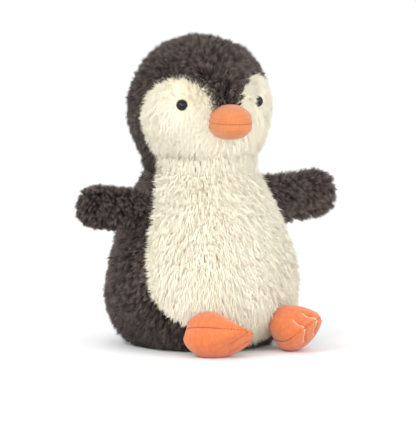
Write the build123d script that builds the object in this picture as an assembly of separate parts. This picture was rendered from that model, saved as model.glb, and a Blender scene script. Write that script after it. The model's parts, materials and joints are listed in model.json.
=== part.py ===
from build123d import *
import os
from math import atan2, cos, degrees, hypot, radians, sin

# Plush penguin, sitting. Millimetres, +Z up, beak and toes towards -Y.
# The origin is the middle of the seat, on the surface that the toy sits on.
# A pelt is a plush panel: backing cloth and pile, taken to half the pile's height.

# Pelts and cloth
PELT = 5.0
SUEDE = 1.4
POUCH_CLOTH = 1.0

# Body: widest radius, height of the neck pivot, and radius of the seat
BODY_RADIUS = 63.7
NECK_HEIGHT = 135.0
SEAT_RADIUS = 43.0
BASE_SEAM_HEIGHT = 10.0

# Shape of the flank from neck to seat: shares of BODY_RADIUS and of NECK_HEIGHT
FLANK_SHAPE = [
    (0.4867, 1.0),
    (0.5966, 0.9),
    (0.7535, 0.7407),
    (0.8713, 0.5926),
    (0.9576, 0.4444),
    (1.0, 0.2963),
    (0.9702, 0.1778),
    (0.8556, 0.0889),
]

# Side view of the seam between the belly pelt and the back pelts, in the same shares
BELLY_SEAM_SHAPE = [
    (-0.0094, 1.037),
    (-0.0471, 0.9037),
    (-0.157, 0.7407),
    (-0.2276, 0.5926),
    (-0.314, 0.4074),
    (-0.4553, 0.2741),
    (-0.6593, 0.1778),
    (-0.675, 0.0),
]

# Bean pouch, on the floor of the body
POUCH_RADIUS = 33.0
POUCH_HEIGHT = 24.0
POUCH_CLEARANCE = 2.0
POUCH_LIFT = PELT + POUCH_CLEARANCE
POUCH_ROUND = 9.0

# Neck: the groove that lets the head nod, and the wad that it turns on
NECK_GAP = 0.6
NECK_SLOPE = 10.0
NECK_WAD_RADIUS = 12.0
WAD_CLEARANCE = 0.5

# Head: a ball whose lowest point would be HEAD_SINK below the neck pivot
HEAD_RADIUS = 48.5
HEAD_SINK = 13.0
HEAD_HEIGHT = NECK_HEIGHT + HEAD_RADIUS - HEAD_SINK
HEAD_TURN = -11.0

# Cheek pelts: a round lobe about each eye, and the chin below
CHEEK_YAW = 45.0
CHEEK_DROP = 3.0
CHEEK_LOBE_RADIUS = 27.5
CHIN_TOP = -3.0
CHIN_BACK = -9.0

# Beak
BEAK_YAW = 2.0
BEAK_DROP = 5.2
BEAK_REACH = 22.0
BEAK_HALF_WIDTH = 15.0
BEAK_HALF_HEIGHT = 12.0
BEAK_SINK = 1.0
BEAK_CENTRE = HEAD_RADIUS - BEAK_SINK

# Eyes
EYE_YAW = 40.0
EYE_RISE = 9.5
BEAD_RADIUS = 4.1
BEAD_SINK = 2.0
BEAD_CENTRE = HEAD_RADIUS - BEAD_SINK
SHANK_RADIUS = 1.5
SHANK_LENGTH = 10.0
WASHER_RADIUS = 5.5
WASHER_THICKNESS = 1.4
WASHER_FIT = 0.05

# Wings: the root seam is WING_DROP below the neck and WING_AHEAD of the side of the body
WING_DROP = 37.0
WING_AHEAD = 4.0
WING_HEIGHT = NECK_HEIGHT - WING_DROP
WING_THICKNESS = 14.0
WING_PELT = 4.0
WING_ROOT_HALF_WIDTH = 14.0
WING_TIP_RADIUS = 13.5
WING_LENGTH = 39.5
WING_RISE = {"left": 4.0, "right": 8.0}
WING_SWEEP = 5.0
WING_GAP = 1.2
WING_RIM_FLAT = 1.0

# Feet: the place, heading (from -Y towards +X) and tilt of each
FOOT_HALF_LENGTH = 25.5
FOOT_RADIUS = 16.5
FOOT_PRESS = 1.2
FOOT_SPLAY = 25.0
FOOT_HEADING = {"left": 15.0, "right": 35.0}
FOOT_PITCH = {"left": 14.0, "right": 4.0}
FOOT_ROLL = 20.0
FOOT_SEAM_RISE = 3.0
FOOT_HINGE_HEIGHT = 12.0
FOOT_GAP = 0.8
FOOT_ROOT_LEAN = 56.0

# Longer than the toy in every direction, for cutting tools
FAR = 400.0


def save(shape, name):
    """Write one node."""
    shape.label = name
    export_step(shape, f"parts/{name}.step")


def half_space(x=0.0, y=0.0, z=0.0):
    """A block that fills one side of the origin plane named by the non-zero axis."""
    return Pos(x * FAR / 2, y * FAR / 2, z * FAR / 2) * Box(FAR, FAR, FAR)


def draw_in(points, inset):
    """Move each point of an outline towards the axis side by inset."""
    moved = []
    for index, (radius, height) in enumerate(points):
        before = points[max(index - 1, 0)]
        after = points[min(index + 1, len(points) - 1)]
        run = hypot(after[0] - before[0], after[1] - before[1])
        out_r = (before[1] - after[1]) / run
        out_z = (after[0] - before[0]) / run
        moved.append((radius - inset * out_r, height - inset * out_z))
    return moved


def side_face(*edges):
    """A face in the XZ plane from its edges, drawn as (x, z)."""
    return Plane.XZ * make_face(edges)


def neck_cone(apex_height, slope):
    """Everything above a cone about the Z axis; a negative slope falls outwards."""
    rise = FAR / 2 * sin(radians(slope)) / cos(radians(slope))
    outline = Polyline(
        (0, apex_height),
        (FAR / 2, apex_height + rise),
        (FAR / 2, FAR),
        (0, FAR),
        (0, apex_height),
    )
    return revolve(side_face(outline), Axis.Z)


def body_outline():
    """Radius and height of the flank's points, from the neck down to the seat."""
    flank = [(BODY_RADIUS * radius, NECK_HEIGHT * height) for radius, height in FLANK_SHAPE]
    return flank + [(SEAT_RADIUS, 0.0)]


def body_form(inset):
    """The pear-shaped body, open at the neck groove, drawn in by inset."""
    points = draw_in(body_outline(), inset)
    points[-1] = (SEAT_RADIUS - inset / 2, inset)
    flank = Spline(points)
    top = NECK_HEIGHT + PELT
    rest = Polyline(points[-1], (0, inset), (0, top), (points[0][0], top), points[0])
    form = revolve(side_face(flank, rest), Axis.Z)
    return form - neck_cone(NECK_HEIGHT - NECK_GAP, -NECK_SLOPE)


def head_form(inset):
    """The ball of the head in its own frame, open at the neck groove."""
    apex = NECK_HEIGHT + NECK_GAP - HEAD_HEIGHT
    return Sphere(HEAD_RADIUS - inset) & neck_cone(apex, NECK_SLOPE)


def place_head(shape):
    """From the head's own frame to the toy's frame."""
    return Pos(0, 0, HEAD_HEIGHT) * Rot(0, 0, HEAD_TURN) * shape


def aim(yaw, rise, distance):
    """A location on the head facing outwards along +Z, yaw from -Y towards +X."""
    facing = Rot(0, 0, yaw) * Rot(90 - rise, 0, 0)
    return facing * Pos(0, 0, distance)


def ellipsoid(half_x, half_y, half_z):
    return scale(Sphere(1), by=(half_x, half_y, half_z))


def make_body():
    """Pelts, stuffing and bean pouch of the body."""
    outer = body_form(0)
    inner = body_form(PELT)
    pelt = outer - inner
    base_zone = Pos(0, 0, BASE_SEAM_HEIGHT) * half_space(z=-1)
    points = [(BODY_RADIUS * y, NECK_HEIGHT * z) for y, z in BELLY_SEAM_SHAPE]
    seam = Spline(points)
    ahead = Polyline(
        points[-1],
        (-FAR / 2, points[-1][1]),
        (-FAR / 2, points[0][1]),
        points[0],
    )
    belly_side = Plane.YZ * make_face([seam, ahead])
    belly_zone = extrude(belly_side, FAR / 2, both=True)

    save(pelt & base_zone, "base_panel")
    wall = pelt - base_zone
    save(wall & belly_zone, "belly_panel")
    back = wall - belly_zone
    save(back & half_space(x=1), "back_panel_left")
    save(back & half_space(x=-1), "back_panel_right")

    pouch = bean_form(0)
    beans = bean_form(POUCH_CLOTH)
    save(pouch - beans, "bean_pouch")
    save(beans, "bean_fill")
    hollow = Pos(0, 0, NECK_HEIGHT) * Sphere(NECK_WAD_RADIUS + WAD_CLEARANCE)
    save(inner - pouch - hollow, "body_stuffing")


def bean_form(inset):
    """A round flat bag, drawn in by inset."""
    bag = Cylinder(POUCH_RADIUS - inset, POUCH_HEIGHT - 2 * inset)
    bag = fillet(bag.edges().filter_by(GeomType.CIRCLE), POUCH_ROUND - inset)
    return Pos(0, 0, POUCH_LIFT + POUCH_HEIGHT / 2) * bag


def make_neck():
    """The wad of stuffing that the head turns and nods on."""
    save(Pos(0, 0, NECK_HEIGHT) * Sphere(NECK_WAD_RADIUS), "neck_stuffing")


def make_head():
    """Pelts, stuffing, beak and eyes of the head."""
    outer = head_form(0)
    inner = head_form(PELT)
    pelt = outer - inner
    hollow = Pos(0, 0, NECK_HEIGHT - HEAD_HEIGHT) * Sphere(NECK_WAD_RADIUS + WAD_CLEARANCE)
    stuffing = inner - hollow

    chin_depth = FAR / 2 + CHIN_BACK
    cheeks = Pos(0, CHIN_BACK - chin_depth / 2, CHIN_TOP - FAR / 4) * Box(FAR, chin_depth, FAR / 2)
    for side in (1, -1):
        lobe = Cylinder(CHEEK_LOBE_RADIUS, FAR / 2, align=(Align.CENTER, Align.CENTER, Align.MIN))
        cheeks = cheeks + aim(side * CHEEK_YAW, -CHEEK_DROP, 0) * lobe

    for name, side in (("left", 1), ("right", -1)):
        eye = eye_form(side)
        washer = washer_form(side)
        cheek = (pelt & cheeks & half_space(x=side)) - eye
        stuffing = stuffing - eye - washer
        save(place_head(eye), f"eye_{name}")
        save(place_head(washer), f"eye_washer_{name}")
        save(place_head(cheek), f"cheek_panel_{name}")
        save(place_head((pelt - cheeks) & half_space(x=side)), f"head_panel_{name}")
    save(place_head(stuffing), "head_stuffing")

    beak = beak_form(0)
    filling = beak_form(SUEDE)
    shell = beak - filling
    above = Pos(0, 0, -BEAK_DROP) * half_space(z=1)
    save(place_head(shell & above), "beak_upper")
    save(place_head(shell - above), "beak_lower")
    save(place_head(filling), "beak_stuffing")


def eye_form(side):
    """A bead with its shank."""
    at = aim(side * EYE_YAW, EYE_RISE, BEAD_CENTRE)
    shank = Cylinder(SHANK_RADIUS, SHANK_LENGTH, align=(Align.CENTER, Align.CENTER, Align.MAX))
    return at * (Sphere(BEAD_RADIUS) + shank)


def washer_form(side):
    """The lock washer, behind the pelt."""
    back = HEAD_RADIUS - PELT - WASHER_THICKNESS
    hole = Cylinder(SHANK_RADIUS + WASHER_FIT, WASHER_THICKNESS)
    ring = Cylinder(WASHER_RADIUS, WASHER_THICKNESS) - hole
    return aim(side * EYE_YAW, EYE_RISE, back) * ring


def beak_form(inset):
    """A blunt egg standing out of the face, drawn in by inset."""
    egg = ellipsoid(BEAK_HALF_WIDTH - inset, BEAK_REACH - inset, BEAK_HALF_HEIGHT - inset)
    egg = Rot(0, 0, BEAK_YAW) * Pos(0, -BEAK_CENTRE, -BEAK_DROP) * egg
    return egg - Sphere(HEAD_RADIUS)


def flank_at(height):
    """Radius and lean, in degrees, of the body's flank between two outline points."""
    outline = body_outline()
    for low, high in zip(outline[1:], outline):
        if low[1] <= height <= high[1]:
            share = (height - low[1]) / (high[1] - low[1])
            radius = low[0] + share * (high[0] - low[0])
            lean = degrees(atan2(low[0] - high[0], high[1] - low[1]))
            return radius, lean


def wing_hinge():
    """Middle of the wing's root seam, and the seam's lean from upright."""
    radius, lean = flank_at(WING_HEIGHT)
    stand_off = WING_THICKNESS / 2 + WING_GAP
    out = stand_off * cos(radians(lean))
    up = stand_off * sin(radians(lean))
    return Vector(radius + out, -WING_AHEAD, WING_HEIGHT + up), lean


def wing_form(rise, inset):
    """A wing on the left side: a flat paddle with a half-round root, drawn in by inset."""
    hinge, lean = wing_hinge()
    half = WING_THICKNESS / 2
    step = WING_ROOT_HALF_WIDTH - half
    along = (-step * sin(radians(lean)), step * cos(radians(lean)))
    tip = (WING_LENGTH * cos(radians(rise)), WING_LENGTH * sin(radians(rise)))
    circles = [
        Pos(*along) * Edge.make_circle(half - inset),
        Pos(-along[0], -along[1]) * Edge.make_circle(half - inset),
        Pos(*tip) * Edge.make_circle(WING_TIP_RADIUS - inset),
    ]
    outline = Plane.XZ * make_hull(circles)
    paddle = extrude(outline, half - inset, both=True)
    rims = [edge for edge in paddle.edges() if abs(abs(edge.center().Y) - half + inset) < 0.01]
    paddle = fillet(rims, half - WING_RIM_FLAT - inset)
    seam_line = Axis((0, 0, 0), (-sin(radians(lean)), 0, cos(radians(lean))))
    return Pos(hinge) * paddle.rotate(seam_line, -WING_SWEEP)


def make_wings():
    """Front pelt, back pelt and stuffing of each wing."""
    hinge, lean = wing_hinge()
    seam_line = Axis((0, 0, 0), (-sin(radians(lean)), 0, cos(radians(lean))))
    ahead = Pos(hinge) * half_space(y=-1).rotate(seam_line, -WING_SWEEP)
    for name, rise in WING_RISE.items():
        inner = wing_form(rise, WING_PELT)
        pelt = wing_form(rise, 0) - inner
        pieces = {"front": pelt & ahead, "back": pelt - ahead, "stuffing": inner}
        for piece, solid in pieces.items():
            placed = solid if name == "left" else mirror(solid, about=Plane.YZ)
            save(placed, f"wing_{name}_{piece}")


def foot_form(name, side, inset):
    """One foot: a plump bolster, flat where it rests, drawn in by inset."""
    radius = FOOT_RADIUS - inset
    end = FOOT_HALF_LENGTH - inset
    heel = JernArc((0, end), (1, 0), radius, -90)
    flank = Line((radius, end - radius), (radius, radius - end))
    toe = JernArc((radius, radius - end), (0, -1), radius, -90)
    bolster = revolve(make_face([heel, flank, toe, Line((0, -end), (0, end))]), Axis.Y)
    foot = place_foot(name, side) * bolster & Pos(0, 0, inset) * half_space(z=1)
    behind = Pos(0, -FOOT_GAP - inset, 0) * half_space(y=1)
    for lean in (0, FOOT_ROOT_LEAN):
        foot = foot - foot_root(side) * Rot(lean, 0, 0) * behind
    return foot


def foot_root(side):
    """The middle of a foot's root seam, with -Y pointing away from the body."""
    out = Rot(0, 0, side * FOOT_SPLAY)
    return out * Pos(0, -flank_at(FOOT_HINGE_HEIGHT)[0], FOOT_HINGE_HEIGHT)


def place_foot(name, side):
    """From a foot's own frame, toes along -Y, to the toy's frame."""
    centre = foot_centre(side)
    tilt = Rot(0, 0, FOOT_HEADING[name]) * Rot(-FOOT_PITCH[name], 0, 0) * Rot(0, -side * FOOT_ROLL, 0)
    return Pos(centre.X, centre.Y, FOOT_RADIUS - FOOT_PRESS) * tilt


def foot_centre(side):
    """A foot's middle, half its length out from the root seam."""
    out = radians(side * FOOT_SPLAY)
    reach = flank_at(FOOT_HINGE_HEIGHT)[0] + FOOT_HALF_LENGTH
    return Vector(reach * sin(out), -reach * cos(out), 0)


def make_feet():
    """Top, sole and stuffing of each foot."""
    for name, side in (("left", 1), ("right", -1)):
        outer = foot_form(name, side, 0)
        inner = foot_form(name, side, SUEDE)
        upper_zone = place_foot(name, side) * Pos(0, 0, FOOT_SEAM_RISE) * half_space(z=1)
        save((outer & upper_zone) - inner, f"foot_{name}_top")
        save((outer - upper_zone) - inner, f"foot_{name}_sole")
        save(inner, f"foot_{name}_stuffing")


os.makedirs("parts", exist_ok=True)
make_body()
make_neck()
make_head()
make_wings()
make_feet()
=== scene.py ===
import json
import math

import bmesh
import bpy
import numpy as np
from mathutils import Euler, Matrix, Vector
from mathutils.kdtree import KDTree


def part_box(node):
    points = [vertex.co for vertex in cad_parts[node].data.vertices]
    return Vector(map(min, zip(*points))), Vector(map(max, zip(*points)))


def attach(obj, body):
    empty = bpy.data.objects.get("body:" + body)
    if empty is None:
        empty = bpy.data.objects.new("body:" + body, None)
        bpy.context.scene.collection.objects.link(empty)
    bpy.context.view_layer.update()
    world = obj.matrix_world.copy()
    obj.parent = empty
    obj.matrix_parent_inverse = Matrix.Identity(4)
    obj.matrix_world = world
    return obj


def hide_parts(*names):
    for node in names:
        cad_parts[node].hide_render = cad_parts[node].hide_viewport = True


# Plush penguin: pile fabric, brushed suedette and bead eyes, built round the CAD frame. Metres.

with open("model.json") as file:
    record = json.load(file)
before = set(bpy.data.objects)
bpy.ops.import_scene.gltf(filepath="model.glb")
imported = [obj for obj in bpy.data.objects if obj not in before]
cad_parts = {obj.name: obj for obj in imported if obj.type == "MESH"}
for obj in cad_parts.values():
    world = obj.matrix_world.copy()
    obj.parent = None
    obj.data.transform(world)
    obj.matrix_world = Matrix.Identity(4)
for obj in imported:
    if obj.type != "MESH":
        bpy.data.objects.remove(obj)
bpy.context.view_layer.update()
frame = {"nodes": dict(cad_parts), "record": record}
MM = 0.001
SIDES = (("left", 1), ("right", -1))

# Camera: where it stands, the height of its view, and its aim in its own frame
CAMERA_AZIMUTH = -35.0
CAMERA_ELEVATION = 7.0
CAMERA_DISTANCE = 8.0
VIEW_HEIGHT = 0.3046
AIM_RIGHT = 0.0061
AIM_UP = 0.0947

# Pile: the backing cloth lies CLOTH_DEPTH inside the CAD pelt, and the roots ROOT_DEPTH deeper
CLOTH_DEPTH = 2.8 * MM
CLOTH_THICKNESS = 0.8 * MM
CLOTH_DETAIL = 0.25
ROOT_DEPTH = 0.3 * MM
PILE_LENGTH = 11.0 * MM
STRAND_RADIUS = 0.62 * MM
STRANDS_PER_MM2 = 4.6
MOST_STRANDS = 42000
CURVED_SHARE = 0.08
CLUMPS_PER_MM2 = 0.24
LUMP_HEIGHT = 0.9 * MM
LEAST_HEIGHT = 0.05 * MM

# Strands against each other: spread of length, ranges of width and of pull to their clump, stray
# as a share of the clumps' own, and where a curved strand bends, as shares of its length and run
LENGTH_SPREAD = 0.12
WIDTHS = (0.75, 1.25)
PULLS = (0.5, 1.1)
STRAND_STRAY = 0.73
BEND_RISE = 0.36
BEND_RUN = 0.2
STRAIGHT_POINTS = 4
CURVED_POINTS = 7

# Each plush: how far clumps draw together, the cloth's share in the shading normal, the lengths
# of the clumps against each other, and how far they stray
PLUSH = {
    "cream_plush": {"pull": 0.24, "softness": 0.9, "lengths": (0.88, 1.1), "stray": 0.2},
    "dark_plush": {"pull": 0.62, "softness": 0.1, "lengths": (0.75, 1.35), "stray": 0.3},
}

# Near a seam: how far it reaches, and the shares of the comb, stray and length kept at it
SEAM_REACH = 9.0 * MM
SEAM_COMB = 0.2
SEAM_STRAY = 0.3
SEAM_LENGTH = 0.72
SEAM_SAMPLES_PER_MM2 = 0.8

# Near an eye or the beak the pile is trimmed to a share of its length
TRIM_SHARE = 0.45
TRIM_REACH = 7 * MM

# Tone, from dark to pale: the cloth's, then a strand's middle tone and the parts that its clump,
# itself and broad patches add
CLOTH_TONE = 0.4
TONE_MIDDLE = 0.36
TONE_CLUMP = 0.75
TONE_STRAND = 0.5
TONE_PATCH = 0.14
PATCH_SIZE = 38 * MM

# Cores that pelts face away from: the body's as shares of its stuffing's height
BODY_CORE = (0.3, 0.72)
WING_CORE_END = 5 * MM
LEAST_FACING = 0.32
LEAST_AREA = 1e-12

# Paunch: more stuffing on the left of the belly
PAUNCH_TURN = 58.0
PAUNCH_HEIGHT = 62 * MM
PAUNCH_DEPTH = 4.5 * MM

# Neck crease: how far the middle of its ring stands above the belly panel's top, and its size
NECK_RISE = 6.0 * MM
NECK_RADIUS = 37.0 * MM
NECK_HALF_HEIGHT = 10.5 * MM
NECK_ROUND = 3.5 * MM

# Eyes: the beads sit EYE_DROP lower than in the CAD
BEAD_STEPS = 48
EYE_DROP = 1.2 * MM
BEAD_RADIUS = 4.1 * MM
SHANK_RADIUS = 1.5 * MM

# Suedette, and the draw of the cloth at its seams as shares of the radius
SUEDE_THICKNESS = 0.9 * MM
SEAM_DRAW = 0.045
SEAM_DRAW_WIDTH = 0.03

# Thread: length and radius of a stitch
FOOT_STITCH = (1.3 * MM, 0.28 * MM)
TOE_STITCH = (3.4 * MM, 0.5 * MM)
BEAK_STITCH = (1.2 * MM, 0.24 * MM)
TOE_STITCH_LIFT = 0.25 * MM

# Beak
BEAK_REACH = 21 * MM
BEAK_SQUARENESS = 2.25
BEAK_FULLNESS = 2.3
BEAK_EXTRA_HEIGHT = 0.6 * MM

# Feet: heading from -Y towards +X, lift of the toes, and roll, in degrees; then the middle of each
FOOT_LENGTH = 52 * MM
FOOT_WIDTH = 36 * MM
FOOT_TOP = 19.5 * MM
FOOT_SOLE = 17 * MM
FOOT_HEADING = {"left": -2.0, "right": 33.0}
FOOT_PITCH = {"left": 5.0, "right": -5.0}
FOOT_ROLL = {"left": -27.0, "right": 32.0}
FOOT_MIDDLE = {"left": (32 * MM, -75 * MM), "right": (-34.5 * MM, -72.5 * MM)}
FOOT_PRESS = 0.7 * MM
FOOT_DOME = 0.85
FOOT_SLOPE = 0.83
TOE_SPREAD = 0.1
TOE_PLUMP = 0.13
TOE_CURL = 7 * MM
TOE_LINE = 0.17
NOTCH_DEPTH = 0.11
NOTCH_WIDTH = 0.07
GROOVE_DEPTH = 0.4
GROOVE_WIDTH = 1.4 * MM

# Lights: name, azimuth and elevation in degrees, distance and size in metres, power in watts
LIGHTS = (
    ("key_softbox", -70, 30, 1.6, 0.6, 11),
    ("front_softbox", -32, 8, 2.2, 1.6, 22),
    ("side_softbox", 25, 12, 2.2, 1.6, 17),
)
LIGHT_AIM = Vector((0, 0, 0.1))
SKY_STRENGTH = 1.3
DIFFUSE_BOUNCES = 10
FLOOR_HALF = 12
FLOOR_GREY = 0.78


# ---------------------------------------------------------------- meshes

def points_of(node):
    """A CAD node's vertices, in the row frame."""
    mesh = frame["nodes"][node].data
    co = np.empty(len(mesh.vertices) * 3)
    mesh.vertices.foreach_get("co", co)
    return co.reshape(-1, 3)


def triangles_of(node):
    """A CAD node's triangles as indices into points_of."""
    mesh = frame["nodes"][node].data
    mesh.calc_loop_triangles()
    index = np.empty(len(mesh.loop_triangles) * 3, dtype=np.int64)
    mesh.loop_triangles.foreach_get("vertices", index)
    return index.reshape(-1, 3)


def mesh_from(name, verts, polys):
    """A mesh from an array of places and a list of faces, or arrays of equal faces."""
    groups = [np.asarray(p, dtype=np.int64) for p in polys if len(p)]
    loops = np.concatenate([g.ravel() for g in groups])
    sizes = np.concatenate([np.full(len(g), g.shape[1]) for g in groups])
    starts = np.concatenate([[0], np.cumsum(sizes)[:-1]])
    mesh = bpy.data.meshes.new(name)
    mesh.vertices.add(len(verts))
    mesh.vertices.foreach_set("co", np.asarray(verts, dtype=np.float32).ravel())
    mesh.loops.add(len(loops))
    mesh.loops.foreach_set("vertex_index", loops.astype(np.int32))
    mesh.polygons.add(len(sizes))
    mesh.polygons.foreach_set("loop_start", starts.astype(np.int32))
    mesh.polygons.foreach_set("use_smooth", np.ones(len(sizes), dtype=bool))
    mesh.update(calc_edges=True)
    mesh.validate()
    return mesh


def add_object(name, mesh, material, body):
    """An object in the scene that rides on a body."""
    piece = bpy.data.objects.new(name, mesh)
    bpy.context.scene.collection.objects.link(piece)
    mesh.materials.clear()
    mesh.materials.append(material)
    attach(piece, body)
    return piece


def final_mesh(mesh, *steps):
    """A mesh after modifiers, each given as (type, settings)."""
    holder = bpy.data.objects.new("holder", mesh)
    bpy.context.scene.collection.objects.link(holder)
    for kind, settings in steps:
        modifier = holder.modifiers.new(kind.lower(), kind)
        for key, value in settings.items():
            setattr(modifier, key, value)
    graph = bpy.context.evaluated_depsgraph_get()
    made = bpy.data.meshes.new_from_object(holder.evaluated_get(graph))
    bpy.data.objects.remove(holder)
    bpy.data.meshes.remove(mesh)
    return made


def arrays_of(mesh):
    """Vertex places and triangles of a mesh."""
    co = np.empty(len(mesh.vertices) * 3)
    mesh.vertices.foreach_get("co", co)
    mesh.calc_loop_triangles()
    index = np.empty(len(mesh.loop_triangles) * 3, dtype=np.int64)
    mesh.loop_triangles.foreach_get("vertices", index)
    return co.reshape(-1, 3), index.reshape(-1, 3)


def unit(v):
    """Vectors brought to length 1."""
    return v / np.maximum(np.linalg.norm(v, axis=-1, keepdims=True), 1e-12)


def ripple(points, size, seed):
    """Smooth noise from -1 to 1 that repeats about every size, for many points at once."""
    draw = np.random.default_rng(seed)
    total = np.zeros(len(points))
    for _ in range(7):
        wave = unit(draw.normal(size=3)) * 2 * math.pi / (size * draw.uniform(0.7, 1.5))
        total += np.sin(points @ wave + draw.uniform(0, 2 * math.pi))
    return total / 4


# ---------------------------------------------------------------- materials

def new_material(name):
    """A material with its nodes, links and Principled shader."""
    material = bpy.data.materials.new(name)
    material.use_nodes = True
    nodes = material.node_tree.nodes
    return material, nodes, material.node_tree.links, nodes["Principled BSDF"]


def ramp(nodes, links, value, stops):
    """A colour ramp fed by a value: stops are (position, colour)."""
    node = nodes.new("ShaderNodeValToRGB")
    elements = node.color_ramp.elements
    while len(elements) < len(stops):
        elements.new(0.5)
    for element, (place, colour) in zip(elements, stops):
        element.position = place
        element.color = (*colour, 1)
    links.new(value, node.inputs["Fac"])
    return node.outputs["Color"]


def pile_material(name, root_shade, middle, tip, pale_tip_and_highlight, sheen):
    """Pile: dark at the root as painted shade, lighter at the tip partly as painted highlight, each
    strand a little different.
    """
    material, nodes, links, shader = new_material(name)
    along = nodes.new("ShaderNodeAttribute")
    along.attribute_name = "pile"
    tone = nodes.new("ShaderNodeAttribute")
    tone.attribute_name = "tone"
    body = ramp(nodes, links, along.outputs["Fac"], [(0.0, root_shade), (0.45, middle), (1.0, tip)])
    light = ramp(nodes, links, along.outputs["Fac"], [(0.0, root_shade), (0.5, tip), (1.0, pale_tip_and_highlight)])
    mix = nodes.new("ShaderNodeMix")
    mix.data_type = "RGBA"
    links.new(tone.outputs["Fac"], mix.inputs["Factor"])
    links.new(body, mix.inputs["A"])
    links.new(light, mix.inputs["B"])
    links.new(mix.outputs["Result"], shader.inputs["Base Color"])
    shader.inputs["Roughness"].default_value = 0.85
    shader.inputs["Specular IOR Level"].default_value = 0.12
    shader.inputs["Sheen Weight"].default_value = sheen
    shader.inputs["Sheen Roughness"].default_value = 0.4
    return material


def grain(nodes, scale, detail):
    """Noise in the object's own space."""
    place = nodes.new("ShaderNodeTexCoord")
    noise = nodes.new("ShaderNodeTexNoise")
    noise.inputs["Scale"].default_value = scale
    noise.inputs["Detail"].default_value = detail
    nodes.id_data.links.new(place.outputs["Object"], noise.inputs["Vector"])
    return noise.outputs["Fac"]


def bump(nodes, links, shader, heights, distance):
    """Adds the heights, each (value, share), as a bump."""
    total = None
    for value, share in heights:
        scaled = nodes.new("ShaderNodeMath")
        scaled.operation = "MULTIPLY"
        scaled.inputs[1].default_value = share
        links.new(value, scaled.inputs[0])
        if total is None:
            total = scaled.outputs[0]
            continue
        added = nodes.new("ShaderNodeMath")
        links.new(total, added.inputs[0])
        links.new(scaled.outputs[0], added.inputs[1])
        total = added.outputs[0]
    node = nodes.new("ShaderNodeBump")
    node.inputs["Distance"].default_value = distance
    links.new(total, node.inputs["Height"])
    links.new(node.outputs["Normal"], shader.inputs["Normal"])


def suede_material(name, low, high):
    """Brushed suedette: mottled nap with a soft sheen."""
    material, nodes, links, shader = new_material(name)
    broad = grain(nodes, 260, 3)
    fine = grain(nodes, 1500, 2)
    mix = nodes.new("ShaderNodeMath")
    mix.operation = "MULTIPLY_ADD"
    mix.inputs[1].default_value = 0.5
    links.new(fine, mix.inputs[0])
    half = nodes.new("ShaderNodeMath")
    half.operation = "MULTIPLY"
    half.inputs[1].default_value = 0.5
    links.new(broad, half.inputs[0])
    links.new(half.outputs[0], mix.inputs[2])
    colour = ramp(nodes, links, mix.outputs[0], [(0.36, low), (0.64, high)])
    links.new(colour, shader.inputs["Base Color"])
    shader.inputs["Roughness"].default_value = 0.9
    shader.inputs["Specular IOR Level"].default_value = 0.2
    shader.inputs["Sheen Weight"].default_value = 0.25
    shader.inputs["Sheen Roughness"].default_value = 0.5
    bump(nodes, links, shader, [(fine, 1.0), (broad, 0.6)], 0.35 * MM)
    return material


def plain_material(name, low, high, scale, roughness, depth=0.2 * MM, coat=0.0):
    """A mottled, slightly uneven surface."""
    material, nodes, links, shader = new_material(name)
    noise = grain(nodes, scale, 4)
    links.new(ramp(nodes, links, noise, [(0.3, low), (0.7, high)]), shader.inputs["Base Color"])
    shader.inputs["Roughness"].default_value = roughness
    shader.inputs["Coat Weight"].default_value = coat
    shader.inputs["Coat Roughness"].default_value = 0.03
    bump(nodes, links, shader, [(noise, 1.0)], depth)
    return material


# Root colours are painted shade deep in the pile: near black on the dark pile, yellower on the cream.
# Pale tips are partly each strand's own tone and partly a painted highlight.
DARK = pile_material(
    "dark_pile", root_shade=(0.0012, 0.001, 0.001), middle=(0.01, 0.0075, 0.0065), tip=(0.045, 0.034, 0.03),
    pale_tip_and_highlight=(0.32, 0.25, 0.22), sheen=0.08)
CREAM = pile_material(
    "cream_pile", root_shade=(0.91, 0.81, 0.58), middle=(0.91, 0.84, 0.65), tip=(0.91, 0.85, 0.69),
    pale_tip_and_highlight=(0.92, 0.87, 0.73), sheen=0.03)
PILE = {"dark_plush": DARK, "cream_plush": CREAM}
FOOT_SUEDE = suede_material("foot_suedette", (0.47, 0.119, 0.037), (0.61, 0.163, 0.053))
BEAK_SUEDE = suede_material("beak_suedette", (0.43, 0.138, 0.048), (0.5, 0.172, 0.062))
BEAD = plain_material("bead_black", (0.002, 0.002, 0.002), (0.004, 0.003, 0.003), 400, 0.09, 0.01 * MM)
BEAD.node_tree.nodes["Principled BSDF"].inputs["Specular IOR Level"].default_value = 0.3
SEAM_THREAD = plain_material("seam_thread", (0.16, 0.035, 0.012), (0.24, 0.06, 0.02), 3000, 0.7)
# Pale thread for the left foot's toe lines, partly a painted highlight along the toe creases
TOE_THREAD_AND_HIGHLIGHT = plain_material("toe_thread_and_highlight", (0.78, 0.46, 0.28), (0.86, 0.55, 0.37), 3000, 0.7)
FIBRE = plain_material("stuffing_fibre", (0.72, 0.72, 0.7), (0.9, 0.9, 0.88), 500, 0.95, 1.5 * MM)
POUCH = plain_material("pouch_cloth", (0.62, 0.6, 0.55), (0.75, 0.74, 0.7), 2200, 0.9)
PELLET = plain_material("pellets", (0.7, 0.7, 0.68), (0.88, 0.88, 0.86), 420, 0.5, 1.5 * MM)
WASHER = plain_material("washer_plastic", (0.76, 0.76, 0.74), (0.84, 0.84, 0.82), 150, 0.45)

INNER = {"stuffing": FIBRE, "pouch_cloth": POUCH, "bean_pellets": PELLET, "washer": WASHER}
for part in frame["record"]["subparts"]:
    if part["material_slot"] in INNER:
        node_mesh = frame["nodes"][part["node"]].data
        node_mesh.materials.clear()
        node_mesh.materials.append(INNER[part["material_slot"]])


# ---------------------------------------------------------------- pile fabric

def core_of_body(p):
    """The nearest point of the body's upright core."""
    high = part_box("body_stuffing")[1]
    core = np.zeros_like(p)
    core[:, 2] = np.clip(p[:, 2], BODY_CORE[0] * high.z, BODY_CORE[1] * high.z)
    return core


def core_of_head(p):
    """The middle of the head, for every point."""
    return np.tile(np.array(HEAD_CENTRE), (len(p), 1))


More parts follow.
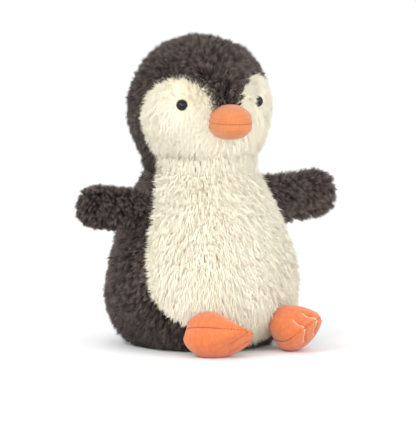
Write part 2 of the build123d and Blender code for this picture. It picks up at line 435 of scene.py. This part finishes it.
def core_of_wing(stuffing):
    """The nearest point of a wing's long core, found from its stuffing."""
    spots = points_of(stuffing)
    middle = (spots.min(0) + spots.max(0)) / 2
    along = np.linalg.svd(spots[::7] - middle, full_matrices=False)[2][0]
    reach = np.abs((spots - middle) @ along).max() - WING_CORE_END

    def core(p):
        t = np.clip((p - middle) @ along, -reach, reach)
        return middle + t[:, None] * along

    return core


head_low, head_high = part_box("head_stuffing")
HEAD_CENTRE = Vector((0, 0, head_high.z - (head_high.x - head_low.x) / 2))


def eye_middle(side):
    """Where the middle of an eye's bead belongs."""
    low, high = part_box(f"eye_{side}")
    return (low + high) / 2 - Vector((0, 0, EYE_DROP))


EYES = {side: eye_middle(side) for side, _ in SIDES}


def outer_surface(node, core):
    """A CAD pelt's outward-facing triangles, as corner places, with their normals."""
    spots, index = node if isinstance(node, tuple) else (points_of(node), triangles_of(node))
    corners = spots[index]
    normal = np.cross(corners[:, 1] - corners[:, 0], corners[:, 2] - corners[:, 0])
    area = np.linalg.norm(normal, axis=1) / 2
    normal = unit(normal)
    middle = corners.mean(1)
    facing = (unit(middle - core(middle)) * normal).sum(1)
    keep = (facing > LEAST_FACING) & (area > LEAST_AREA)
    return corners[keep], normal[keep], area[keep], index[keep], spots


def lumps(p):
    """How far stuffed cloth stands in or out at p: soft lumps, and a paunch that leans to the left."""
    turn = np.degrees(np.arctan2(p[:, 0], -p[:, 1]))
    paunch = np.exp(-(((turn - PAUNCH_TURN) / 38) ** 2) - ((p[:, 2] - PAUNCH_HEIGHT) / (34 * MM)) ** 2)
    return LUMP_HEIGHT * (ripple(p, 46 * MM, 5) + 0.5 * ripple(p, 21 * MM, 6)) + PAUNCH_DEPTH * paunch


def cloth_mesh(name, index, spots):
    """The backing cloth: the CAD pelt's outer surface, set in and given its thickness."""
    bm = bmesh.new()
    used, packed = np.unique(index, return_inverse=True)
    packed = packed.reshape(index.shape)
    verts = [bm.verts.new(spots[i]) for i in used]
    for a, b, c in packed:
        if len({a, b, c}) == 3 and not bm.faces.get((verts[a], verts[b], verts[c])):
            bm.faces.new((verts[a], verts[b], verts[c]))
    bmesh.ops.remove_doubles(bm, verts=bm.verts, dist=0.02 * MM)
    bm.normal_update()
    places = np.array([v.co for v in bm.verts])
    normals = np.array([v.normal for v in bm.verts])
    moved = places + normals * (lumps(places) - CLOTH_DEPTH)[:, None]
    moved[:, 2] = np.maximum(moved[:, 2], CLOTH_THICKNESS)
    for vert, place in zip(bm.verts, moved):
        vert.co = place
    mesh = bpy.data.meshes.new(name)
    bm.to_mesh(mesh)
    bm.free()
    thin = ("DECIMATE", {"ratio": CLOTH_DETAIL})
    solid = ("SOLIDIFY", {"thickness": CLOTH_THICKNESS, "offset": -1.0})
    return final_mesh(mesh, thin, solid)


def scatter(corners, normal, area, draw, density):
    """Roots at random over triangles."""
    count = min(int(area.sum() / MM ** 2 * density), MOST_STRANDS)
    pick = draw.choice(len(area), size=count, p=area / area.sum())
    a, b = draw.random((2, count))
    flip = a + b > 1
    a[flip], b[flip] = 1 - a[flip], 1 - b[flip]
    tri = corners[pick]
    place = tri[:, 0] + a[:, None] * (tri[:, 1] - tri[:, 0]) + b[:, None] * (tri[:, 2] - tri[:, 0])
    return place, normal[pick]


def nearest(seeds, points):
    """Index of the nearest seed to each point."""
    tree = KDTree(len(seeds))
    for i, seed in enumerate(seeds):
        tree.insert(seed, i)
    tree.balance()
    return np.array([tree.find(p)[1] for p in points])


def strand_arrays(root, middle, tip, width, draw):
    """Three-sided closed blades with a base, a bend and a point, or straight where middle is None."""
    count = len(root)
    along = unit(tip - root)
    side = unit(np.cross(along, draw.normal(size=(count, 3))))
    other = np.cross(along, side)
    rings = [(root, 1.0)] if middle is None else [(root, 1.0), (middle, 0.85)]
    verts = np.empty((count, 3 * len(rings) + 1, 3))
    facing = np.empty_like(verts)
    for k in range(3):
        turn = 2 * math.pi * k / 3
        arm = side * math.cos(turn) + other * math.sin(turn)
        for ring, (centre, share) in enumerate(rings):
            verts[:, 3 * ring + k] = centre + arm * (share * width)[:, None]
            facing[:, 3 * ring + k] = arm
    point = verts.shape[1] - 1
    verts[:, point] = tip
    facing[:, point] = along
    base = np.arange(count)[:, None] * (point + 1)
    top = point - 3
    faces = [base + np.array([top + k, top + (k + 1) % 3, point]) for k in range(3)]
    faces.append(base + np.array([2, 1, 0]))
    for k in range(top):
        a, b, c, d = k, (k + 1) % 3, 3 + (k + 1) % 3, 3 + k
        faces += [base + np.array([a, b, c]), base + np.array([a, c, d])]
    heights = [0, 0, 0, 1.0] if middle is None else [0, 0, 0, 0.5, 0.5, 0.5, 1.0]
    pile = np.tile(heights, count)
    return verts.reshape(-1, 3), np.concatenate(faces), pile, facing.reshape(-1, 3)


def seam_share(place, beside):
    """From 0 at a seam with the panels beside this one to 1 at SEAM_REACH from it."""
    draw = np.random.default_rng(3)
    near = []
    for node, core in beside:
        corners, normal, area, _, _ = outer_surface(node, core)
        near.append(scatter(corners, normal, area, draw, SEAM_SAMPLES_PER_MM2)[0])
    if not near:
        return np.ones(len(place))
    near = np.concatenate(near)
    tree = KDTree(len(near))
    for i, spot in enumerate(near):
        tree.insert(spot, i)
    tree.balance()
    gap = np.array([tree.find(p)[2] for p in place])
    return np.clip(gap / SEAM_REACH, 0, 1)


def comb_direction(p, normal, away, flow):
    """The way the pile lies: along flow, and away from each (place, reach) given."""
    comb = np.tile(np.array(flow, dtype=float), (len(p), 1))
    for place, reach in away:
        gap = p - np.array(place)
        distance = np.linalg.norm(gap, axis=1)
        comb += unit(gap) * (2.5 * np.exp(-((distance / reach) ** 2)))[:, None]
    return comb - (comb * normal).sum(1)[:, None] * normal


def strand_tones(place, clump, clumps, painted_light_and_shade, draw):
    """A tone from 0 to 1 for each strand: by clump, by strand and in broad patches, shifted for the whole
    panel by painted light and shade.
    """
    by_clump = draw.random(clumps)[clump] - 0.5
    by_strand = draw.random(len(place)) - 0.5
    patch = ripple(place, PATCH_SIZE, 9)
    tone = TONE_MIDDLE + painted_light_and_shade + TONE_CLUMP * by_clump + TONE_STRAND * by_strand + TONE_PATCH * patch
    return np.clip(tone, 0.02, 0.98)


def comb_pile(place, normal, size, plush, draw, away, bare, flow, lean, length_share, beside):
    """The roots, bends and tips of strands combed over a cloth, each one's clump, and how many clumps."""
    count = len(place)
    root = place + normal * (lumps(place) - CLOTH_DEPTH - ROOT_DEPTH)[:, None]
    seeds = draw.choice(count, size=max(4, int(size / MM ** 2 * CLUMPS_PER_MM2)), replace=False)
    clump = nearest(place[seeds], place)
    free = seam_share(place, beside)

    loose = SEAM_STRAY + (1 - SEAM_STRAY) * free[seeds]
    sway = draw.normal(size=(len(seeds), 3)) * plush["stray"] * loose[:, None]
    comb = comb_direction(place, normal, away, flow) * (SEAM_COMB + (1 - SEAM_COMB) * free)[:, None]
    tangent = comb * lean + sway[clump] + draw.normal(size=(count, 3)) * STRAND_STRAY * plush["stray"]
    tangent -= (tangent * normal).sum(1)[:, None] * normal

    usual = length_share * PILE_LENGTH
    cut = SEAM_LENGTH + (1 - SEAM_LENGTH) * free
    length = usual * (1 + LENGTH_SPREAD * draw.normal(size=count))
    length *= draw.uniform(*plush["lengths"], len(seeds))[clump] * cut
    for spot, reach in bare:
        gap = np.linalg.norm(place - np.array(spot), axis=1)
        length *= np.clip(TRIM_SHARE + (1 - TRIM_SHARE) * (gap - reach) / TRIM_REACH, TRIM_SHARE, 1)

    tip = root + unit(normal + tangent) * length[:, None]
    clump_aim = unit(normal[seeds] + sway + lean * comb[seeds])
    clump_tip = root[seeds] + clump_aim * (usual * cut[seeds])[:, None]
    pull = plush["pull"] * draw.uniform(*PULLS, count)
    tip += (clump_tip[clump] - tip) * pull[:, None]
    bend = root + normal * (BEND_RISE * length)[:, None] + (tip - root) * BEND_RUN
    return root, bend, tip, clump, len(seeds)


def pelt(name, node, core, body, slot, seed, away=(), bare=(), flow=(0, 0, -1), lean=1.2,
         length_share=1.0, beside=(), painted_light_and_shade=0.0):
    """A panel of pile fabric over a CAD pelt, or over (places, triangles): backing cloth and strands.

    The pile lies along flow by its lean and away from the places in away. It is cut back at those
    in bare and at the seams with the panels beside it. The tone offset makes the whole panel paler
    or darker: painted light and shade for how the light falls on that panel.
    """
    draw = np.random.default_rng(seed)
    corners, face_normal, area, index, spots = outer_surface(node, core)
    cloth = cloth_mesh(name, index, spots)
    cloth_verts, cloth_tris = arrays_of(cloth)
    bpy.data.meshes.remove(cloth)

    place, normal = scatter(corners, face_normal, area, draw, STRANDS_PER_MM2)
    keep = np.ones(len(place), dtype=bool)
    for spot, reach in bare:
        keep &= np.linalg.norm(place - np.array(spot), axis=1) > reach
    place, normal = place[keep], normal[keep]
    count = len(place)
    plush = PLUSH[slot]
    root, bend, tip, clump, clumps = comb_pile(
        place, normal, area.sum(), plush, draw, away, bare, flow, lean, length_share, beside)

    closeness = math.sqrt(count / (area.sum() / MM ** 2))
    width = STRAND_RADIUS / closeness * draw.uniform(*WIDTHS, count)
    bent = int(count * CURVED_SHARE)
    verts, tris, pile, facing = strand_arrays(root[:bent], bend[:bent], tip[:bent], width[:bent], draw)
    more_verts, more_tris, more_pile, more_facing = strand_arrays(
        root[bent:], None, tip[bent:], width[bent:], draw)
    tris = np.concatenate([tris, more_tris + len(verts)])
    verts = np.concatenate([verts, more_verts])
    pile = np.concatenate([pile, more_pile])
    points_each = np.where(np.arange(count) < bent, CURVED_POINTS, STRAIGHT_POINTS)
    own = np.concatenate([facing, more_facing]) * (1 - plush["softness"])
    facing = unit(own + np.repeat(normal, points_each, axis=0) * plush["softness"])
    tone = strand_tones(place, clump, clumps, painted_light_and_shade, draw)

    shift = len(cloth_verts)
    all_verts = np.concatenate([cloth_verts, verts])
    all_verts[:, 2] = np.maximum(all_verts[:, 2], LEAST_HEIGHT)
    mesh = mesh_from(name, all_verts, [cloth_tris, tris + shift])
    # A pile of 0 gives the backing cloth the root colour, the painted shade deep in the pile.
    set_attribute(mesh, "pile", np.concatenate([np.zeros(shift), pile]))
    tones = np.concatenate([np.full(shift, CLOTH_TONE), np.repeat(tone, points_each)])
    set_attribute(mesh, "tone", tones)
    lay_out(mesh)
    mesh.normals_split_custom_set_from_vertices(np.concatenate([np.zeros((shift, 3)), facing]))
    piece = add_object(name, mesh, PILE[slot], body)
    if isinstance(node, str):
        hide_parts(node)


def set_attribute(mesh, name, values):
    """A number at each vertex, for the material."""
    attribute = mesh.attributes.new(name, "FLOAT", "POINT")
    attribute.data.foreach_set("value", np.asarray(values, dtype=np.float32))


def lay_out(mesh):
    """A UV map named OFBake: tone across, root to tip up, as the material's colour varies."""
    count = len(mesh.loops)
    vertex = np.empty(count, dtype=np.int32)
    mesh.loops.foreach_get("vertex_index", vertex)
    tone = np.empty(len(mesh.vertices), dtype=np.float32)
    pile = np.empty(len(mesh.vertices), dtype=np.float32)
    mesh.attributes["tone"].data.foreach_get("value", tone)
    mesh.attributes["pile"].data.foreach_get("value", pile)
    uv = np.empty((count, 2), dtype=np.float32)
    nudge = np.array([-0.006, 0.006, 0.0])[vertex % 3]
    uv[:, 0] = tone[vertex] + nudge
    uv[:, 1] = 0.01 + 0.98 * pile[vertex] + np.abs(nudge) * (pile[vertex] == 0)
    layer = mesh.uv_layers.new(name="OFBake")
    layer.data.foreach_set("uv", uv.ravel())


beak_low, beak_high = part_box("beak_upper")
BEAK_MIDDLE = Vector(((beak_low.x + beak_high.x) / 2, beak_high.y - 1 * MM, beak_low.z))
BARE_EYES = [(EYES[side], 5.4 * MM) for side, _ in SIDES]
BARE_BEAK = [(BEAK_MIDDLE, 9 * MM)]
FACE_COMB = [(EYES[side], 13 * MM) for side, _ in SIDES] + [(BEAK_MIDDLE, 24 * MM)]

BACKS = [(f"back_panel_{side}", core_of_body) for side, _ in SIDES]
BELLY = [("belly_panel", core_of_body)]
CHEEKS = [(f"cheek_panel_{side}", core_of_head) for side, _ in SIDES]
CROWN = [(f"head_panel_{side}", core_of_head) for side, _ in SIDES]

pelt("belly_pelt", "belly_panel", core_of_body, "body", "cream_plush", 11, beside=BACKS, lean=1.0)
pelt("base_pelt", "base_panel", core_of_body, "body", "dark_plush", 12, lean=0.8, length_share=0.8)
# The dark panels carry painted light and shade: the back and the left wing paler, the crown and the right
# wing a little darker.
for seed, (side, sign) in enumerate(SIDES):
    pelt(f"back_pelt_{side}", f"back_panel_{side}", core_of_body, "body", "dark_plush", 20 + seed,
         beside=BELLY, lean=0.8, length_share=0.8, painted_light_and_shade=0.16)
    pelt(f"head_pelt_{side}", f"head_panel_{side}", core_of_head, "head", "dark_plush", 30 + seed,
         away=[(BEAK_MIDDLE, 45 * MM)], bare=BARE_BEAK, beside=CHEEKS, lean=0.75, length_share=0.78,
         painted_light_and_shade=-0.06)
    pelt(f"cheek_pelt_{side}", f"cheek_panel_{side}", core_of_head, "head", "cream_plush", 40 + seed,
         away=FACE_COMB, bare=BARE_EYES + BARE_BEAK, beside=CROWN, lean=0.75, length_share=0.8)
    wing = f"wing_{side}"
    wing_core = core_of_wing(f"{wing}_stuffing")
    for offset, face in enumerate(("front", "back")):
        pelt(f"wing_pelt_{side}_{face}", f"{wing}_{face}", wing_core, wing, "dark_plush",
             50 + 10 * offset + seed, flow=(0.7 * sign, 0, -0.6), lean=0.7,
             length_share=0.64 + 0.08 * sign, painted_light_and_shade=0.08 + 0.1 * sign)


# ---------------------------------------------------------------- eyes

def turned(name, outline, steps, matrix):
    """A closed mesh turned about Z from an outline of (radius, height), first and last on the axis."""
    inner = np.array(outline[1:-1])
    turn = np.linspace(0, 2 * math.pi, steps, endpoint=False)
    rings = np.array([[(r * math.cos(t), r * math.sin(t), z) for t in turn] for r, z in inner])
    verts = [(0, 0, outline[0][1]), *rings.reshape(-1, 3), (0, 0, outline[-1][1])]
    faces = []
    last = len(verts) - 1

    def ring(i, k):
        return 1 + i * steps + k % steps

    tris = [(0, ring(0, k + 1), ring(0, k)) for k in range(steps)]
    tris += [(last, ring(len(inner) - 1, k), ring(len(inner) - 1, k + 1)) for k in range(steps)]
    for i in range(len(inner) - 1):
        faces += [(ring(i, k), ring(i, k + 1), ring(i + 1, k + 1), ring(i + 1, k)) for k in range(steps)]
    mesh = mesh_from(name, verts, [faces, tris])
    mesh.transform(matrix)
    return mesh


def eye_piece(side):
    """A moulded bead: a domed face, a soft rim, and the shank through the pelt."""
    spots = points_of(f"eye_{side}")
    out = (EYES[side] - HEAD_CENTRE).normalized()
    reach = (spots - np.array(HEAD_CENTRE)) @ np.array(out)
    front = reach.max()
    back = reach.min()
    r = BEAD_RADIUS
    centre = front - r
    dome = [(r * math.sin(a), centre + r * math.cos(a)) for a in np.linspace(0.08, 1.75, 16)]
    rim = [(0.9 * r, centre - 0.32 * r), (0.45 * r, centre - 0.42 * r)]
    shank = [(SHANK_RADIUS, centre - 0.5 * r), (SHANK_RADIUS, back + 1 * MM), (1.1 * MM, back)]
    outline = [(0, front), *dome, *rim, *shank, (0, back)]
    matrix = Matrix.Translation(HEAD_CENTRE) @ out.to_track_quat("Z", "Y").to_matrix().to_4x4()
    mesh = turned(f"bead_eye_{side}", outline[::-1], BEAD_STEPS, matrix)
    piece = add_object(f"bead_eye_{side}", mesh, BEAD, "head")
    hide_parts(f"eye_{side}")


for side, _ in SIDES:
    eye_piece(side)


# ---------------------------------------------------------------- neck

def core_of_neck(p):
    """The point of the upright axis at each point's height."""
    core = np.zeros_like(p)
    core[:, 2] = p[:, 2]
    return core


def neck_pelt(name, start, end, slot, seed):
    """Pile round the neck between two angles from straight ahead, to close the crease under the head."""
    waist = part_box("belly_panel")[1].z + NECK_RISE
    turn = np.radians(np.linspace(start, end, 40))
    heights = np.linspace(-1, 1, 9)
    rows = []
    for h in heights:
        r = NECK_RADIUS - NECK_ROUND * h * h
        z = waist + h * NECK_HALF_HEIGHT
        rows.append([(r * math.sin(t), -r * math.cos(t), z) for t in turn])
    cols = len(turn)
    index = []
    for row in range(len(heights) - 1):
        for col in range(cols - 1):
            a = row * cols + col
            b = a + cols
            index += [(a, a + 1, b + 1), (a, b + 1, b)]
    surface = (np.array(rows).reshape(-1, 3), np.array(index))
    pelt(name, surface, core_of_neck, "neck", slot, seed, lean=1.1, length_share=0.9)


neck_pelt("neck_pelt_front", -84, 84, "cream_plush", 71)
neck_pelt("neck_pelt_back", 84, 276, "dark_plush", 72)


# ---------------------------------------------------------------- suedette: feet and beak

def half_pouch(name, place, matrix, sign, body, nodes, material):
    """One panel of a stuffed pouch as a disc, from its middle to the seam, with its thickness inwards."""
    rings, steps = 34, 144
    shares = [math.sin(0.5 * math.pi * i / rings) for i in range(rings + 1)]
    verts = [place(sign, 0.0, 0.0)]
    for share in shares[1:]:
        verts += [place(sign, share, 2 * math.pi * k / steps) for k in range(steps)]

    def at(i, k):
        return 1 + (i - 1) * steps + k % steps

    tris = [(0, at(1, k), at(1, k + 1)) for k in range(steps)]
    quads = []
    for i in range(1, rings):
        quads += [(at(i, k), at(i + 1, k), at(i + 1, k + 1), at(i, k + 1)) for k in range(steps)]
    if sign < 0:
        tris = [t[::-1] for t in tris]
        quads = [q[::-1] for q in quads]
    mesh = mesh_from(name, np.array(verts), [quads, tris])
    mesh.transform(matrix)
    mesh = final_mesh(mesh, ("SOLIDIFY", {"thickness": SUEDE_THICKNESS, "offset": -1.0}))
    for vert in mesh.vertices:
        vert.co.z = max(vert.co.z, 0.02 * MM)
    piece = add_object(name, mesh, material, body)
    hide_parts(*nodes)
    return piece


def seam_pull(share):
    """How far the cloth is drawn in near the seam, as a share of its radius."""
    return 1 - SEAM_DRAW * math.exp(-(((1 - share) / SEAM_DRAW_WIDTH) ** 2))


def stitches(name, lines, length, radius, matrix, body, material):
    """Short rounded stitches along lines of (place, up) pairs."""
    verts, faces = [], []
    for line in lines:
        for (a, up), (b, _) in zip(line[::2], line[1::2]):
            a, b, up = matrix @ Vector(a), matrix @ Vector(b), (matrix.to_3x3() @ Vector(up)).normalized()
            if (b - a).length < 1e-6:
                continue
            along = (b - a).normalized()
            middle = (a + b) / 2
            across = along.cross(up).normalized()
            up = across.cross(along)
            base = len(verts)
            rows, steps = 6, 6
            for i in range(rows + 1):
                turn = math.pi * i / rows
                for k in range(steps):
                    spin = 2 * math.pi * k / steps
                    arm = (across * math.cos(spin) + up * math.sin(spin)) * math.sin(turn) * radius
                    verts.append(middle - along * math.cos(turn) * length / 2 + arm)
            for i in range(rows):
                for k in range(steps):
                    m = (k + 1) % steps
                    a0, a1 = base + i * steps + k, base + i * steps + m
                    faces.append((a0, a1, a1 + steps, a0 + steps))
    mesh = bpy.data.meshes.new(name)
    bm = bmesh.new()
    made = [bm.verts.new(v) for v in verts]
    for face in faces:
        bm.faces.new([made[i] for i in face])
    bmesh.ops.remove_doubles(bm, verts=bm.verts, dist=1e-7)
    for face in bm.faces:
        face.smooth = True
    bmesh.ops.recalc_face_normals(bm, faces=bm.faces)
    bm.to_mesh(mesh)
    bm.free()
    return add_object(name, mesh, material, body)


def foot_place(sign, share, angle):
    """A point of a foot's top (sign 1) or sole (-1) in its own frame, toes along -Y, seam at share 1."""
    c, s = math.cos(angle), math.sin(angle)
    half_width = FOOT_WIDTH / 2 * (0.94 + TOE_SPREAD * c)
    reach = 1 / math.hypot(c / (FOOT_LENGTH / 2), s / half_width)
    notch = sum(math.exp(-(((angle - line) / NOTCH_WIDTH) ** 2)) for line in toe_angles(angle))
    radius = reach * share * seam_pull(share) * (1 - NOTCH_DEPTH * notch * share ** 4)
    x, y = radius * s, -radius * c
    back = min(max(0.5 + y / FOOT_LENGTH, 0), 1)
    plump = TOE_PLUMP + (1 - TOE_PLUMP) * math.sin(min(back / FOOT_SLOPE, 1) * math.pi / 2)
    dome = math.sqrt(max(1 - share * share, 0)) ** FOOT_DOME
    full = FOOT_TOP if sign > 0 else FOOT_SOLE
    height = full * plump * dome * (1 - GROOVE_DEPTH * toe_groove(x, y))
    curl = TOE_CURL * max(-2 * y / FOOT_LENGTH, 0) ** 2
    return Vector((x, y, sign * height + curl))


def toe_angles(angle):
    """The two toe lines' angles at the toe edge, each on the turn nearest to angle."""
    edge = math.atan2(FOOT_WIDTH * TOE_LINE, FOOT_LENGTH / 2)
    return [line + 2 * math.pi * round((angle - line) / (2 * math.pi)) for line in (edge, -edge)]


def toe_groove(x, y):
    """From 0 to 1, how near a point is to a stitched toe line."""
    along = min(max((-y - FOOT_LENGTH * 0.16) / (FOOT_LENGTH * 0.12), 0), 1)
    return along * sum(math.exp(-(((x - k * toe_line_x(y)) / GROOVE_WIDTH) ** 2)) for k in (1, -1))


def toe_line_x(y):
    """Half the gap between the two toe lines at a distance from the foot's middle: they fan out."""
    return FOOT_WIDTH * TOE_LINE * (0.55 + 0.45 * min(-2 * y / FOOT_LENGTH, 1))


def foot_matrix(side):
    """From a foot's own frame to the row frame, with the lowest point pressed on the floor."""
    turn = (Euler((0, 0, math.radians(FOOT_HEADING[side]))).to_matrix()
            @ Euler((math.radians(-FOOT_PITCH[side]), 0, 0)).to_matrix()
            @ Euler((0, math.radians(FOOT_ROLL[side]), 0)).to_matrix())
    angles = np.linspace(0, 2 * math.pi, 60)
    sole = [turn @ foot_place(-1, share, angle) for share in np.linspace(0, 1, 20) for angle in angles]
    lift = -min(v.z for v in sole) - FOOT_PRESS
    x, y = FOOT_MIDDLE[side]
    return Matrix.Translation((x, y, lift)) @ turn.to_4x4()


def foot_lines():
    """The toe lines on the top and the sole, as points a little above the cloth."""
    lines = []
    for sign in (1, -1):
        for k in (1, -1):
            line = []
            for y in np.arange(-0.19 * FOOT_LENGTH, -0.485 * FOOT_LENGTH, -1.1 * MM):
                x = k * toe_line_x(y)
                angle = math.atan2(x, -y)
                edge = math.hypot(*foot_place(sign, 1.0, angle)[:2])
                share = min(math.hypot(x, y) / edge, 0.985)
                proud = Vector((0, 0, sign * TOE_STITCH_LIFT))
                line.append((foot_place(sign, share, angle) + proud, (0, 0, sign)))
            lines.append(line)
    return lines


def seam_line(place, count):
    """Points round a pouch's seam, just proud of the groove."""
    turns = np.linspace(0, 2 * math.pi, count, endpoint=False)
    return [(place(1, 1.0, t) * 1.006, (0, 0, 1)) for t in turns]


# The left foot's toe stitches are pale thread, partly a painted highlight on its lit toe creases;
# the right foot's, whose creases catch no light, are in thread of the cloth's own colour
TOE_STITCHES = {"left": TOE_THREAD_AND_HIGHLIGHT, "right": FOOT_SUEDE}
for side, _ in SIDES:
    body = f"foot_{side}"
    matrix = foot_matrix(side)
    sole_nodes = [f"{body}_sole", f"{body}_stuffing"]
    half_pouch(f"foot_upper_{side}", foot_place, matrix, 1, body, [f"{body}_top"], FOOT_SUEDE)
    half_pouch(f"foot_under_{side}", foot_place, matrix, -1, body, sole_nodes, FOOT_SUEDE)
    rim = [seam_line(foot_place, 120)]
    stitches(f"foot_seam_{side}", rim, *FOOT_STITCH, matrix, body, SEAM_THREAD)
    stitches(f"toe_stitches_{side}", foot_lines(), *TOE_STITCH, matrix, body, TOE_STITCHES[side])


def beak_place(sign, share, angle):
    """A point of the beak's upper (sign 1) or lower (-1) half in its own frame, tip along -Y."""
    c, s = math.cos(angle), math.sin(angle)
    power = BEAK_SQUARENESS
    reach = (abs(c) ** power + abs(s) ** power) ** (-1 / power) * share * seam_pull(share)
    x, y = BEAK_HALF.x * reach * s, -BEAK_HALF.y * reach * c
    height = BEAK_HALF.z * math.sqrt(max(1 - share ** BEAK_FULLNESS, 0))
    return Vector((x, y, sign * height))


upper_low, upper_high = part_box("beak_upper")
lower_low, lower_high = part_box("beak_lower")
beak_height = upper_high.z - upper_low.z + BEAK_EXTRA_HEIGHT
BEAK_HALF = Vector(((upper_high.x - upper_low.x) / 2, BEAK_REACH, beak_height))
beak_middle = Vector(((upper_low.x + upper_high.x) / 2, upper_low.y + BEAK_REACH, upper_low.z))
beak_turn = math.atan2(beak_middle.x, -beak_middle.y)
beak_matrix = Matrix.Translation(beak_middle) @ Matrix.Rotation(beak_turn, 4, "Z")
half_pouch("beak_top", beak_place, beak_matrix, 1, "head", ["beak_upper"], BEAK_SUEDE)
half_pouch("beak_under", beak_place, beak_matrix, -1, "head", ["beak_lower", "beak_stuffing"],
           BEAK_SUEDE)
stitches("beak_seam", [seam_line(beak_place, 84)], *BEAK_STITCH, beak_matrix, "head", SEAM_THREAD)


# ---------------------------------------------------------------- camera, light and floor

def direction(azimuth, elevation):
    """From the toy towards an azimuth from straight ahead and an elevation, in degrees."""
    a = math.radians(azimuth)
    e = math.radians(elevation)
    return Vector((math.sin(a) * math.cos(e), -math.cos(a) * math.cos(e), math.sin(e)))


def add_camera():
    """A long-lens camera: AIM_RIGHT and AIM_UP are its aim in its own frame."""
    azimuth = math.radians(CAMERA_AZIMUTH)
    back = direction(CAMERA_AZIMUTH, CAMERA_ELEVATION)
    right = Vector((math.cos(azimuth), math.sin(azimuth), 0))
    up = back.cross(right)
    data = bpy.data.cameras.new("camera")
    data.sensor_width = 36
    data.lens = CAMERA_DISTANCE * data.sensor_width / VIEW_HEIGHT
    data.clip_end = 60
    camera = bpy.data.objects.new("camera", data)
    bpy.context.scene.collection.objects.link(camera)
    aim = right * AIM_RIGHT + up * AIM_UP
    camera.location = aim + back * CAMERA_DISTANCE
    camera.rotation_mode = "QUATERNION"
    camera.rotation_quaternion = (-back).to_track_quat("-Z", "Y")
    bpy.context.scene.camera = camera


def add_softbox(name, azimuth, elevation, distance, size, power):
    """A square area light facing the toy's middle."""
    back = direction(azimuth, elevation)
    data = bpy.data.lights.new(name, "AREA")
    data.size = size
    data.energy = power
    light = bpy.data.objects.new(name, data)
    bpy.context.scene.collection.objects.link(light)
    light.location = LIGHT_AIM + back * distance
    light.rotation_mode = "QUATERNION"
    light.rotation_quaternion = (-back).to_track_quat("-Z", "Y")


def add_floor():
    """A broad matt floor, part of the stage and not of the toy."""
    half = FLOOR_HALF
    corners = [(-half, -half, 0), (half, -half, 0), (half, half, 0), (-half, half, 0)]
    mesh = mesh_from("floor", corners, [[(0, 1, 2, 3)]])
    floor = bpy.data.objects.new("floor", mesh)
    bpy.context.scene.collection.objects.link(floor)
    material, _, _, shader = new_material("floor_white")
    shader.inputs["Base Color"].default_value = (FLOOR_GREY, FLOOR_GREY, FLOOR_GREY, 1)
    shader.inputs["Roughness"].default_value = 0.9
    shader.inputs["Specular IOR Level"].default_value = 0.1
    mesh.materials.append(material)


world = bpy.data.worlds.new("studio")
world.use_nodes = True
world.node_tree.nodes["Background"].inputs["Color"].default_value = (1, 1, 1, 1)
world.node_tree.nodes["Background"].inputs["Strength"].default_value = SKY_STRENGTH
bpy.context.scene.world = world
bpy.context.scene.view_settings.view_transform = "Standard"
bpy.context.scene.cycles.diffuse_bounces = DIFFUSE_BOUNCES
add_camera()
for light in LIGHTS:
    add_softbox(*light)
add_floor()
